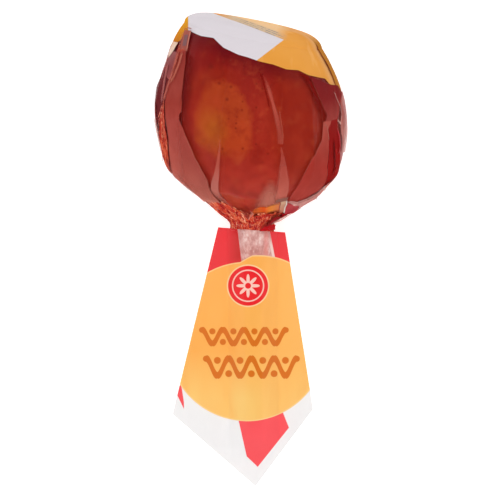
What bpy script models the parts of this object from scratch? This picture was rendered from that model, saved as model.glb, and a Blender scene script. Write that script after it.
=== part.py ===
"""Toffee apple on a stick, wrapped in one square of clear film.

The wrapped apple lies on its back.  +X is to the right, +Y runs from the stick to the toffee foot that
the apple cooled on, and +Z points up.  The origin is on the floor, on the flat spot that the head rests on,
straight below the middle of the apple.

Two solids:
  wrapper  the film with the apple in it, its gathered neck, and the kite-shaped tail over the stick
  stick    the round wooden stick, from inside the apple to its end under the tail

Lengths are in millimetres and become metres where the meshes are made.
"""
import math

import bmesh
import bpy
from mathutils import Vector

MM = 0.001

# --- driving dimensions: the head -------------------------------------------------------------------------
BELLY_RADIUS = 35.4          # film round the widest part of the apple
HEAD_CENTRE = Vector((0.4, 0.0, 33.2))
STICK_TILT = math.radians(14.6)   # the stick runs down from the head to the floor
LEAN = math.radians(11.0)    # the apple sits this far askew on its stick, to the right
FOOT_RISE = math.radians(5.0)     # how far the flat foot looks up
FOOT_HEIGHT = 34.5           # from the middle of the apple to the flat foot
FOOT_FLAT_RADIUS = 18.0
FOOT_CORNER = (7.3, 4.6)     # rounded corner of the foot: across, along
UPPER_ARC = 52.0             # meridian's radius above and below the belly
LOWER_ARC = 39.0
CONE_TOP = -22.0             # the film leaves the apple here and runs straight to the neck
CONE_END = -36.0
NECK_END = -40.4
NECK_RADIUS = 8.4
CONE_FLARE = 1.2             # the cone ends this much wider than the neck
NECK_WAIST = 0.4             # and the neck is this much narrower half way along
CONE_SWAY = 2.6              # the cone stands this far out to the left
FOOT_SHIFT = 0.7             # and the foot this far to the right

# Ridges of the taut film, in degrees round the head, from the right over the top
TOP_RIDGES = (5, 21, 38, 56, 72, 90, 108, 128, 147, 163, 175)
BOTTOM_RIDGES = (185, 200, 216, 235, 256, 284, 302, 318, 333, 345, 355)
PLEAT_DEPTH = 1.6            # how deep the folds between the ridges are, near the neck

# --- driving dimensions: the stick ------------------------------------------------------------------------
STICK_RADIUS = 3.25
STICK_TOP_Y = 6.0            # its end in the apple
STICK_END_Y = -111.0         # its free end, under the tail
STICK_EDGE = 0.5
STICK_SIDES = 32
CLEARANCE = 0.3              # gap that two touching solids keep

# --- driving dimensions: the tail -------------------------------------------------------------------------
LEFT_SHOULDER = Vector((-11.6, -39.6))
RIGHT_SHOULDER = Vector((12.8, -41.4))
LEFT_CORNER = Vector((-28.0, -106.9))
RIGHT_CORNER = Vector((22.8, -105.1))
TIP = Vector((2.0, -132.6))
TIP_CUT = 0.965              # the last section is this far along from the corners to the tip
FILM_PACK = 1.2              # thickness of the film's layers lying on each other
WING_DROP = 1.5              # the layers' middle lies this far below the stick's axis
TENT_GAP = 0.6               # film stands this far off the stick
TENT_HALF_WIDTH = 9.0        # where the film over the stick meets the flat wings
TENT_END_Y = -113.0          # past the stick's end the tent sinks into the flat film
TENT_FLAT_Y = -125.0
SKIRT_END_Y = -50.0          # gathered film that still goes all round the stick below the neck
SKIRT_RADIUS = 5.2

UP_AXIS = Vector((-0.0099, math.cos(STICK_TILT), math.sin(STICK_TILT))).normalized()


def smooth(start, end, value):
    """0 at start, 1 at end, and smooth between."""
    t = min(1.0, max(0.0, (value - start) / (end - start)))
    return t * t * (3.0 - 2.0 * t)


def mix(a, b, t):
    return a + (b - a) * t


def stick_axis(y):
    """The stick's axis where it passes y: its x and z."""
    run = y / UP_AXIS.y
    return HEAD_CENTRE.x + UP_AXIS.x * run, HEAD_CENTRE.z + UP_AXIS.z * run


# --- the head ---------------------------------------------------------------------------------------------
def head_profile():
    """(height along the apple's axis, radius) of each section, from the foot to the end of the neck."""
    across, along = FOOT_CORNER
    corner_height = FOOT_HEIGHT - along
    rows = [(FOOT_HEIGHT, FOOT_FLAT_RADIUS * part) for part in (0.35, 0.7)]
    for degrees in (90, 60, 30, 0):
        turn = math.radians(degrees)
        rows.append((corner_height + along * math.sin(turn), FOOT_FLAT_RADIUS + across * math.cos(turn)))
    for height in (25.5, 20.5, 15.5, 10.5, 6.0, 2.0):
        rows.append((height, math.sqrt(UPPER_ARC ** 2 - height ** 2) - UPPER_ARC + BELLY_RADIUS))
    for height in (-2.0, -6.0, -10.0, -14.0, -18.0, CONE_TOP):
        rows.append((height, math.sqrt(LOWER_ARC ** 2 - height ** 2) - LOWER_ARC + BELLY_RADIUS))
    cone_radius = rows[-1][1]
    for part in (0.25, 0.5, 0.75, 1.0):
        rows.append((mix(CONE_TOP, CONE_END, part), mix(cone_radius, NECK_RADIUS + CONE_FLARE, part)))
    rows.append((mix(CONE_END, NECK_END, 0.5), NECK_RADIUS - NECK_WAIST))
    rows.append((NECK_END, NECK_RADIUS))
    return rows


def ring_angles():
    """Each ridge's angle and, between two ridges, one fold: (angle, place between its ridges, gap)."""
    angles = []
    for ridges in (TOP_RIDGES, BOTTOM_RIDGES):
        for first, second in zip(ridges, ridges[1:]):
            angles += [(first, 0.0), ((first + second) / 2, (second - first) / 2)]
        angles.append((ridges[-1], 0.0))
    return [(math.radians(angle), math.radians(half_gap)) for angle, half_gap in angles]


def head_section(height, radius):
    """One closed section across the head or neck."""
    lean = LEAN * smooth(NECK_END, CONE_TOP, height)
    rise = mix(STICK_TILT, FOOT_RISE, smooth(8.0, 30.0, height))
    normal = Vector((math.sin(lean) * math.cos(rise), math.cos(lean) * math.cos(rise), math.sin(rise)))
    side = Vector((math.cos(lean), -math.sin(lean), 0.0))
    up = side.cross(normal)
    centre = HEAD_CENTRE + UP_AXIS * (height / math.cos(LEAN))
    centre.x += FOOT_SHIFT * smooth(4.0, 20.0, height) - CONE_SWAY * math.exp(-((height - CONE_TOP) / 7.0) ** 2)
    fold = PLEAT_DEPTH * smooth(-8.0, CONE_END, height) * min(1.0, radius / NECK_RADIUS)
    points = []
    for angle, half_gap in ring_angles():
        reach = radius * math.cos(half_gap)
        if half_gap:
            reach -= fold
        point = centre + side * (reach * math.cos(angle)) + up * (reach * math.sin(angle))
        point.z = max(0.0, point.z)
        points.append(point)
    return points


# --- the tail ---------------------------------------------------------------------------------------------
def tent_rise(away, inner_radius, wing_drop):
    """How far film drawn over the stick stands above the flat wings, at a distance from the stick's axis."""
    if away >= TENT_HALF_WIDTH:
        return 0.0
    reach = math.hypot(wing_drop, TENT_HALF_WIDTH)
    touch = math.acos(inner_radius / reach) - math.atan2(wing_drop, TENT_HALF_WIDTH)
    touch_x, touch_z = inner_radius * math.cos(touch), inner_radius * math.sin(touch)
    if away < touch_x:
        return wing_drop + math.sqrt(inner_radius ** 2 - away ** 2)
    return (wing_drop + touch_z) * (TENT_HALF_WIDTH - away) / (TENT_HALF_WIDTH - touch_x)


def tail_height(x, y, top):
    """Height of the tail's upper or lower side at a place on it."""
    axis_x, axis_z = stick_axis(y)
    away = abs(x - axis_x)
    wing = max(0.0, axis_z - WING_DROP - FILM_PACK / 2)
    stands = smooth(TENT_FLAT_Y, TENT_END_Y, y)
    if top:
        return wing + FILM_PACK + stands * tent_rise(
            away, STICK_RADIUS + TENT_GAP + FILM_PACK, WING_DROP - FILM_PACK / 2)
    height = wing + stands * tent_rise(away, STICK_RADIUS + TENT_GAP, WING_DROP + FILM_PACK / 2)
    skirt = mix(SKIRT_RADIUS, NECK_RADIUS, smooth(SKIRT_END_Y, -NECK_END, y))
    if y > SKIRT_END_Y and away < skirt:
        height = min(height, axis_z - math.sqrt(skirt ** 2 - away ** 2))
    return height


def across_tail(left, right, segments):
    """x and y of points across the tail from right to left, closer together over the stick."""
    hump = segments // 2
    wing = (segments - hump) // 2
    axis_x = stick_axis((left.y + right.y) / 2)[0]
    half = min(TENT_HALF_WIDTH, 0.7 * min(right.x - axis_x, axis_x - left.x))
    crowding = 1.0 + 0.3 * half / TENT_HALF_WIDTH
    spots = [mix(right.x, axis_x + half, step / wing) for step in range(wing)]
    for step in range(-hump // 2, hump // 2 + 1):
        spread = math.copysign(abs(2 * step / hump) ** crowding, step)
        spots.append(axis_x - half * spread)
    spots += [mix(axis_x - half, left.x, step / wing) for step in range(1, wing + 1)]
    width = right.x - left.x
    return [(x, mix(left.y, right.y, (x - left.x) / width)) for x in spots]


def tail_section(left, right):
    """One closed section of the tail, over its top from right to left and back under it."""
    top_count = 2 * len(TOP_RIDGES) - 2
    bottom_count = 2 * len(BOTTOM_RIDGES) - 2
    points = [Vector((x, y, tail_height(x, y, True))) for x, y in across_tail(left, right, top_count)]
    under = [Vector((x, y, tail_height(x, y, False))) for x, y in across_tail(left, right, bottom_count)]
    return points + under[::-1]


def tail_rows():
    """The tail's sections from its shoulders to its tip, as the ends of each."""
    rows = []
    for part in (0.0, 0.03, 0.07, 0.11, 0.145, 0.165, 0.25, 0.35, 0.45, 0.55, 0.65, 0.75, 0.85, 0.93, 1.0):
        rows.append((LEFT_SHOULDER.lerp(LEFT_CORNER, part), RIGHT_SHOULDER.lerp(RIGHT_CORNER, part)))
    for part in (0.09, 0.18, 0.27, 0.36, 0.45, 0.54, 0.64, 0.75, 0.87, TIP_CUT):
        rows.append((LEFT_CORNER.lerp(TIP, part), RIGHT_CORNER.lerp(TIP, part)))
    return rows


# --- the solids -------------------------------------------------------------------------------------------
def clear_scene():
    for item in list(bpy.data.objects):
        bpy.data.objects.remove(item, do_unlink=True)


def new_collection(name):
    collection = bpy.data.collections.new(name)
    bpy.context.scene.collection.children.link(collection)
    return collection


def new_material(name, colour, roughness):
    material = bpy.data.materials.new(name)
    material.use_nodes = True
    shader = material.node_tree.nodes["Principled BSDF"]
    shader.inputs["Base Color"].default_value = (*colour, 1.0)
    shader.inputs["Roughness"].default_value = roughness
    shader.inputs["Metallic"].default_value = 0.0
    return material


def loft(name, sections, collection, material):
    """A closed solid through sections that all have as many points."""
    mesh_maker = bmesh.new()
    rings = [[mesh_maker.verts.new(point * MM) for point in section] for section in sections]
    count = len(rings[0])
    for ring, next_ring in zip(rings, rings[1:]):
        for index in range(count):
            after = (index + 1) % count
            mesh_maker.faces.new((ring[index], ring[after], next_ring[after], next_ring[index]))
    mesh_maker.faces.new(rings[0][::-1])
    mesh_maker.faces.new(rings[-1])
    bmesh.ops.triangulate(mesh_maker, faces=mesh_maker.faces[:])
    bmesh.ops.recalc_face_normals(mesh_maker, faces=mesh_maker.faces[:])
    mesh = bpy.data.meshes.new(name)
    mesh_maker.to_mesh(mesh)
    mesh_maker.free()
    mesh.materials.append(material)
    solid = bpy.data.objects.new(name, mesh)
    collection.objects.link(solid)
    return solid


def rod(name, radius, top_y, end_y, collection):
    """A round rod along the stick's axis."""
    mesh = bpy.data.meshes.new(name)
    mesh_maker = bmesh.new()
    top = Vector((stick_axis(top_y)[0], top_y, stick_axis(top_y)[1]))
    end = Vector((stick_axis(end_y)[0], end_y, stick_axis(end_y)[1]))
    bmesh.ops.create_cone(mesh_maker, cap_ends=True, segments=STICK_SIDES, radius1=radius * MM,
                          radius2=radius * MM, depth=(top - end).length * MM)
    mesh_maker.to_mesh(mesh)
    mesh_maker.free()
    item = bpy.data.objects.new(name, mesh)
    item.location = (top + end) / 2 * MM
    item.rotation_mode = "QUATERNION"
    item.rotation_quaternion = UP_AXIS.to_track_quat("Z", "Y")
    collection.objects.link(item)
    return item


def make_wrapper(parts, cutters):
    sections = [head_section(height, radius) for height, radius in head_profile()]
    sections += [tail_section(left, right) for left, right in tail_rows()]
    film = new_material("toffee_in_film", (0.40, 0.035, 0.02), 0.15)
    wrapper = loft("wrapper", sections, parts, film)
    bore = rod("stick_bore", STICK_RADIUS + CLEARANCE, STICK_TOP_Y + CLEARANCE, STICK_END_Y - CLEARANCE,
               cutters)
    bore.hide_render = True
    bore.display_type = "WIRE"
    cut = wrapper.modifiers.new("stick_bore", "BOOLEAN")
    cut.operation = "DIFFERENCE"
    cut.solver = "EXACT"
    cut.object = bore
    return wrapper


def make_stick(parts):
    stick = rod("stick", STICK_RADIUS, STICK_TOP_Y, STICK_END_Y, parts)
    stick.data.materials.append(new_material("pale_wood", (0.76, 0.60, 0.40), 0.6))
    rounding = stick.modifiers.new("rounded_ends", "BEVEL")
    rounding.width = STICK_EDGE * MM
    rounding.segments = 2
    rounding.limit_method = "ANGLE"
    rounding.angle_limit = math.radians(60)
    stick.data.shade_smooth()
    stick.data.set_sharp_from_angle(angle=math.radians(40))
    return stick


def main():
    clear_scene()
    parts = new_collection("toffee_apple")
    cutters = new_collection("cutters")
    make_wrapper(parts, cutters)
    make_stick(parts)


main()
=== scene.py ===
"""Looks of the wrapped toffee apple: toffee, clear printed film, stick, light and camera.

Lengths are in millimetres, in the frame's own axes, and become metres where the meshes are made.
A place on the head is given as degrees round it and a height. 90 degrees is up and 0 is to the right.
Height runs along the head's axis from its belly, and is largest at the foot of the apple.
Colours are written as screen colours, with red, green and blue of 0 to 255.
"""
import math
from functools import partialmethod

import bmesh
import bpy
import numpy as np
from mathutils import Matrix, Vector, noise


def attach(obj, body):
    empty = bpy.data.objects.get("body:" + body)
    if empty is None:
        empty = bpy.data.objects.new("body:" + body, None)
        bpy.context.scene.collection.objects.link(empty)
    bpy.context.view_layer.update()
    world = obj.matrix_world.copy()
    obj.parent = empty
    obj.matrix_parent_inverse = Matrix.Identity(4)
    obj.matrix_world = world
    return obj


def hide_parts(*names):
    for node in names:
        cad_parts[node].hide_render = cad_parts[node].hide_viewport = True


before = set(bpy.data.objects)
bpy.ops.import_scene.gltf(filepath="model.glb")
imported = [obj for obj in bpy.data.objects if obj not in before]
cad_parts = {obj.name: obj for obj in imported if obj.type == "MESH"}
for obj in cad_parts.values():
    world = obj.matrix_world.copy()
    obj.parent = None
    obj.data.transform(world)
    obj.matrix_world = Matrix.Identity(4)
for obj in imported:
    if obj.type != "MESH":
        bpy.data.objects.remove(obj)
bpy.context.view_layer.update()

MM = 0.001

# --- the head's form, with the sizes of the solid under it ---
BELLY_RADIUS = 34.9
HEAD_CENTRE = np.array((0.4, 0.0, 33.2))
STICK_TILT = math.radians(14.6)
LEAN = math.radians(11.0)
FOOT_RISE = math.radians(5.0)
FOOT_HEIGHT = 34.5
FOOT_FLAT_RADIUS = 18.0
FOOT_CORNER = (7.3, 4.6)
UPPER_ARC = 52.0
LOWER_ARC = 39.0
CONE_TOP = -22.0
CONE_END = -36.0
NECK_END = -40.4
NECK_RADIUS = 8.4
CONE_FLARE = 1.2
NECK_WAIST = 0.4
CONE_SWAY = 2.6
FOOT_SHIFT = 0.7
APPLE_END = -32.0
STICK_RADIUS = 3.25
MM_A_DEGREE = 0.6            # length of a degree round the belly
FILM_LIFT = 0.15             # how far the film stands off the form, and the apple lies inside it

# --- the tail's form ---
LEFT_SHOULDER = np.array((-11.5, -39.3))
RIGHT_SHOULDER = np.array((12.7, -41.1))
LEFT_CORNER = np.array((-28.0, -106.9))
RIGHT_CORNER = np.array((22.8, -105.1))
TIP = np.array((2.0, -133.0))
FILM_PACK = 1.2
WING_DROP = 1.5
TENT_GAP = 0.6
TENT_HALF_WIDTH = 9.0
TENT_END_Y = -113.0
TENT_FLAT_Y = -125.0

UP_AXIS = np.array((-0.0099, math.cos(STICK_TILT), math.sin(STICK_TILT)))
UP_AXIS /= np.linalg.norm(UP_AXIS)


def smooth(start, end, value):
    t = np.clip((value - start) / (end - start), 0.0, 1.0)
    return t * t * (3.0 - 2.0 * t)


def mix(a, b, t):
    return a + (b - a) * t


def tone(red, green, blue):
    """A screen colour as the linear one that a shader takes."""
    shares = (red / 255, green / 255, blue / 255)
    return tuple(((c + 0.055) / 1.055) ** 2.4 if c > 0.04045 else c / 12.92 for c in shares)


# --- surfaces ---
def stick_axis(y):
    run = y / UP_AXIS[1]
    return HEAD_CENTRE[0] + UP_AXIS[0] * run, HEAD_CENTRE[2] + UP_AXIS[2] * run


def side_radius(height, arc=LOWER_ARC):
    return np.sqrt(arc ** 2 - height ** 2) - arc + BELLY_RADIUS


def meridian(parts):
    """Distance along a meridian, height and radius, from stretches of (height, radius) arrays."""
    height = np.concatenate([part[0] for part in parts])
    radius = np.concatenate([part[1] for part in parts])
    keep = np.concatenate([[True], np.hypot(np.diff(height), np.diff(radius)) > 1e-6])
    height, radius = height[keep], radius[keep]
    along = np.concatenate([[0], np.cumsum(np.hypot(np.diff(height), np.diff(radius)))])
    return along, height, radius


def foot_and_sides():
    flat = np.linspace(0, FOOT_FLAT_RADIUS, 20)
    turn = np.linspace(math.pi / 2, 0, 20)
    corner_height = FOOT_HEIGHT - FOOT_CORNER[1]
    upper = np.linspace(corner_height, 0, 60)
    lower = np.linspace(0, CONE_TOP, 40)
    return [
        (np.full_like(flat, FOOT_HEIGHT), flat),
        (corner_height + FOOT_CORNER[1] * np.sin(turn), FOOT_FLAT_RADIUS + FOOT_CORNER[0] * np.cos(turn)),
        (upper, side_radius(upper, UPPER_ARC)),
        (lower, side_radius(lower)),
    ]


def film_meridian():
    part = np.linspace(0, 1, 30)
    cone = (mix(CONE_TOP, CONE_END, part), mix(side_radius(CONE_TOP), NECK_RADIUS + CONE_FLARE, part))
    neck = (mix(CONE_END, NECK_END, part),
            NECK_RADIUS + CONE_FLARE * (1 - part) ** 2 - NECK_WAIST * np.sin(math.pi * part))
    return meridian(foot_and_sides() + [cone, neck])


def apple_meridian():
    """The apple under the film: the same sides, narrowing down the cone to its own rounded end."""
    part = np.linspace(0, 1, 30)
    share = (CONE_TOP - APPLE_END) / (CONE_TOP - CONE_END)
    last = mix(side_radius(CONE_TOP), NECK_RADIUS + CONE_FLARE, share)
    cone = (mix(CONE_TOP, APPLE_END, part), mix(side_radius(CONE_TOP), last, part) - 0.5 * part ** 3)
    inward = np.linspace(0, 1, 12)
    bottom = (APPLE_END - 1.5 * np.sin(inward * math.pi / 2), mix(cone[1][-1], 2, inward ** 1.5))
    parts = foot_and_sides() + [cone, bottom]
    eased = [(height, radius - 0.25 * np.exp(-((height - CONE_TOP) / 4) ** 2)) for height, radius in parts]
    return meridian(eased)


FILM_LINE = film_meridian()
APPLE_LINE = apple_meridian()


def head_point(line, turn, along, lift):
    """Place on the head at an angle round it and a distance along its meridian, lifted off the surface."""
    span, heights, radii = line
    height, radius = np.interp(along, span, heights), np.interp(along, span, radii)
    d_height = np.interp(along + 0.3, span, heights) - np.interp(along - 0.3, span, heights)
    d_radius = np.interp(along + 0.3, span, radii) - np.interp(along - 0.3, span, radii)
    length = np.hypot(d_height, d_radius) + 1e-9
    lean = LEAN * smooth(NECK_END, CONE_TOP, height)
    rise = mix(STICK_TILT, FOOT_RISE, smooth(8, 30, height))
    normal = np.stack([np.sin(lean) * np.cos(rise), np.cos(lean) * np.cos(rise), np.sin(rise)], -1)
    side = np.stack([np.cos(lean), -np.sin(lean), 0 * height], -1)
    up = np.cross(side, normal)
    centre = HEAD_CENTRE + UP_AXIS * (height / math.cos(LEAN))[..., None]
    centre[..., 0] += FOOT_SHIFT * smooth(4, 20, height)
    centre[..., 0] -= CONE_SWAY * np.exp(-((height - CONE_TOP) / 7) ** 2)
    reach = radius - d_height / length * lift
    point = centre + normal * (d_radius / length * lift)[..., None]
    point += side * (reach * np.cos(turn))[..., None] + up * (reach * np.sin(turn))[..., None]
    return point


def along_at(height):
    """Distance along the film's meridian where it reaches a height below the foot."""
    start = 25
    return np.interp(-np.asarray(height, float), -FILM_LINE[1][start:], FILM_LINE[0][start:])


# Degrees round the head where the film creases, from the underside round.
RIDGES = (-172, -158, -141, -122, -104, -80, -63, -47, -31, -17, -5, 6, 20, 31, 46, 70, 88, 105, 134, 149,
          163, 176, 188)
# Shallow hollows and bulges of the wrapped head: degrees round it, height and depth.
SLACK = ((180, 18, 0.9), (178, 34, 0.5), (172, 7, 0.45), (180, -9, -0.45), (0, -5, 0.35), (5, -16, 0.3),
         (9, -22, 0.65), (15, 30, -0.25))
SLACK_WIDTH = 24             # degrees over which one of them fades out
SLACK_LENGTH = 9             # and millimetres along the head


def facet(degrees, height):
    """How far the film stands off its round form: out at its creases and in between them."""
    ridges = np.array(RIDGES, float)
    wrapped = np.mod(degrees - ridges[0], 360) + ridges[0]
    index = np.clip(np.searchsorted(ridges, wrapped, side="right") - 1, 0, len(ridges) - 2)
    low, high = ridges[index], ridges[index + 1]
    place = (wrapped - (low + high) / 2) / ((high - low) / 2)
    sag = BELLY_RADIUS * (1 - np.cos(np.radians(high - low) / 2))
    folds = sag * (place ** 2 - 0.4) * smooth(28, 6, height) * smooth(-36, -28, height)
    for turn, level, depth in SLACK:
        off = (np.mod(degrees - turn + 180, 360) - 180) / SLACK_WIDTH
        folds = folds - depth * np.exp(-off ** 2 - ((height - level) / SLACK_LENGTH) ** 2)
    return folds


def on_film(degrees, height, lift):
    """Place on the creased film, lifted off it."""
    return head_point(FILM_LINE, np.radians(degrees), along_at(height), lift + facet(degrees, height))


def tent_rise(away, inner_radius, wing_drop):
    reach = math.hypot(wing_drop, TENT_HALF_WIDTH)
    touch = math.acos(inner_radius / reach) - math.atan2(wing_drop, TENT_HALF_WIDTH)
    touch_x, touch_z = inner_radius * math.cos(touch), inner_radius * math.sin(touch)
    round_part = wing_drop + np.sqrt(np.maximum(inner_radius ** 2 - away ** 2, 0))
    straight = (wing_drop + touch_z) * (TENT_HALF_WIDTH - away) / (TENT_HALF_WIDTH - touch_x)
    return np.where(away < touch_x, round_part, np.maximum(straight, 0))


def tail_front_height(x, y):
    """Height of the tail's printed side, which is draped over the stick."""
    axis_x, axis_z = stick_axis(y)
    wing = np.maximum(0, axis_z - WING_DROP - FILM_PACK / 2)
    rise = tent_rise(np.abs(x - axis_x), STICK_RADIUS + TENT_GAP + FILM_PACK, WING_DROP - FILM_PACK / 2)
    return wing + FILM_PACK + smooth(TENT_FLAT_Y, TENT_END_Y, y) * rise


def tail_back_height(x, y):
    """Height of the tail's other side, which hangs under the stick."""
    axis_x, axis_z = stick_axis(y)
    wing = np.maximum(0, axis_z - WING_DROP - FILM_PACK / 2)
    under = np.maximum(axis_z - STICK_RADIUS - TENT_GAP, 0.05)
    sag = smooth(TENT_HALF_WIDTH, 3, np.abs(x - axis_x)) * smooth(TENT_FLAT_Y, TENT_END_Y, y)
    return np.maximum(mix(wing, under, sag), 0.05)


# --- mesh helpers ---
def grid_mesh(name, points, closed=False, values=None):
    """A mesh through a grid of points; closed joins the last row of its first direction to the first."""
    rows, columns = points.shape[:2]
    joined = rows if closed else rows - 1
    first, second = np.meshgrid(np.arange(joined), np.arange(columns - 1), indexing="ij")
    after = (first + 1) % rows
    corners = [first * columns + second, after * columns + second,
               after * columns + second + 1, first * columns + second + 1]
    mesh = bpy.data.meshes.new(name)
    mesh.from_pydata((points.reshape(-1, 3) * MM).tolist(), [], np.stack(corners, -1).reshape(-1, 4).tolist())
    for key, data in (values or {}).items():
        kind, field, shape = ("FLOAT_VECTOR", "vector", points.shape) if key == "tint" else (
            "FLOAT", "value", points.shape[:2])
        spread = np.broadcast_to(data, shape).ravel().astype(np.float32)
        mesh.attributes.new(key, kind, "POINT").data.foreach_set(field, spread)
    return mesh


def join_meshes(name, meshes):
    """One mesh from several, with their attributes."""
    maker = bmesh.new()
    for mesh in meshes:
        maker.from_mesh(mesh)
    joined = bpy.data.meshes.new(name)
    maker.to_mesh(joined)
    maker.free()
    return joined


def add_piece(mesh, material, sharp=None):
    mesh.materials.append(material)
    mesh.shade_smooth()
    if sharp is not None:
        mesh.set_sharp_from_angle(angle=math.radians(sharp))
    piece = bpy.data.objects.new(mesh.name, mesh)
    bpy.context.scene.collection.objects.link(piece)
    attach(piece, "root")
    return piece


# --- node helpers ---
class Graph:
    """Short calls that add nodes to one material or world."""

    def __init__(self, owner):
        owner.use_nodes = True
        owner.node_tree.nodes.clear()
        self.owner, self.tree = owner, owner.node_tree

    def surface(self, shader):
        """The material, with this shader as its surface."""
        self.node("OutputMaterial", Surface=shader)
        return self.owner

    def put(self, socket, value):
        """Set a socket, or link it to a socket or to a node's first output. A list is a linear colour."""
        if isinstance(value, bpy.types.Node):
            value = value.outputs[0]
        if isinstance(value, bpy.types.NodeSocket):
            self.tree.links.new(value, socket)
        elif isinstance(value, tuple) and socket.type == "RGBA":
            socket.default_value = (*tone(*value), 1)
        else:
            socket.default_value = value

    def node(self, kind, settings=None, **inputs):
        node = self.tree.nodes.new("ShaderNode" + kind)
        for key, value in (settings or {}).items():
            setattr(node, key, value)
        for key, value in inputs.items():
            self.put(node.inputs[key.replace("_", " ")], value)
        return node

    def fill(self, kind, *values, **settings):
        """A node with these values at its inputs, in their order."""
        node = self.node(kind, settings)
        for socket, value in zip(node.inputs, values):
            self.put(socket, value)
        return node

    def math(self, operation, *values, clamp=False):
        return self.fill("Math", *values, operation=operation, use_clamp=clamp)

    plus = partialmethod(math, "ADD")
    minus = partialmethod(math, "SUBTRACT")
    scaled = partialmethod(math, "MULTIPLY_ADD")  # value, slope and start

    def times(self, first, *others):
        for other in others:
            first = self.math("MULTIPLY", first, other)
        return first

    def most(self, first, *others):
        for other in others:
            first = self.math("MAXIMUM", first, other)
        return first

    def ramp(self, value, start, end, low=0, high=1):
        """value from start to end becomes low to high."""
        return self.fill("MapRange", value, start, end, low, high)

    def blend(self, share, first, second):
        node = self.node("Mix", {"data_type": "RGBA"})
        for index, value in ((0, share), (6, first), (7, second)):
            self.put(node.inputs[index], value)
        return node.outputs[2]

    def washes(self, base, *rows):
        """base under (value, start, end, strength, colour) washes, each in full where its value is at end."""
        for value, start, end, strength, colour in rows:
            base = self.blend(self.ramp(value, start, end, 0, strength), base, colour)
        return base

    def steps(self, value, stops):
        """Colours at (place, colour) stops."""
        node = self.node("ValToRGB", Fac=value)
        elements = node.color_ramp.elements
        while len(elements) < len(stops):
            elements.new(0.5)
        for element, (place, colour) in zip(elements, stops):
            element.position = place
            element.color = (*tone(*colour), 1)
        return node

    def place(self):
        """Object coordinates in millimetres: x, y and z."""
        split = self.node("SeparateXYZ", Vector=self.node("TexCoord").outputs["Object"])
        return [self.times(output, 1 / MM) for output in split.outputs]

    def value(self, name, output="Fac"):
        """What the mesh keeps under this name."""
        return self.node("Attribute", {"attribute_name": name}).outputs[output]

    def noise(self, seed, scale, detail=2, rough=0.5, finer=1):
        """Noise through space. finer is its fineness along y next to that across: below 1 makes streaks."""
        spot = self.node("Mapping", Vector=self.node("TexCoord").outputs["Object"])
        spot.inputs["Location"].default_value = (seed, seed * 0.7, seed * 1.3)
        spot.inputs["Scale"].default_value = (1, finer, 1)
        return self.node("TexNoise", Vector=spot, Scale=scale, Detail=detail, Roughness=rough)

    def wrapped_noise(self, around, along, detail=2, distortion=0, seed=0):
        """Noise laid round the head, with its own grain each way, in waves a millimetre."""
        spot = self.node("CombineXYZ", X=self.times(self.value("round"), around),
                         Y=self.times(self.value("height"), along), Z=seed)
        return self.node("TexNoise", Vector=spot, Scale=1, Detail=detail, Distortion=distortion)

    def distance(self, *pairs):
        """Distance from (coordinate, centre, half size) in each direction, 1 on the outline."""
        total = None
        for coordinate, centre, size in pairs:
            part = self.math("POWER", self.math("DIVIDE", self.minus(coordinate, centre), size), 2)
            total = part if total is None else self.plus(total, part)
        return self.math("SQRT", total)

    def inside(self, x, y, corners, soft=0.08):
        """1 inside a convex outline whose corners run clockwise, 0 outside."""
        least = None
        for (ax, ay), (bx, by) in zip(corners, corners[1:] + corners[:1]):
            length = math.hypot(bx - ax, by - ay)
            nx, ny = (by - ay) / length, -(bx - ax) / length
            away = self.plus(self.times(x, nx), self.scaled(y, ny, -(ax * nx + ay * ny)))
            least = away if least is None else self.math("MINIMUM", least, away)
        return self.ramp(least, -soft, soft)


# --- materials ---
# The apple's pale cheeks under the toffee: centre, half sizes and strength. The first is the one on top.
CHEEKS = (((-10.4, -1.4, 66), (10.6, 13.4, 16), 1), ((-22, 4, 8), (12, 12, 12), 0.9),
          ((24, 2, 14), (12, 13, 12), 0.9))
# Larger dark spots on the upper side: x, y and radius.
SPOTS = ((-14, 18.2, 1.2), (-11, 12.2, 0.8), (-6.8, 10.9, 0.7), (-8.2, 6.4, 0.8), (-2.6, -11.2, 0.6))


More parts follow.
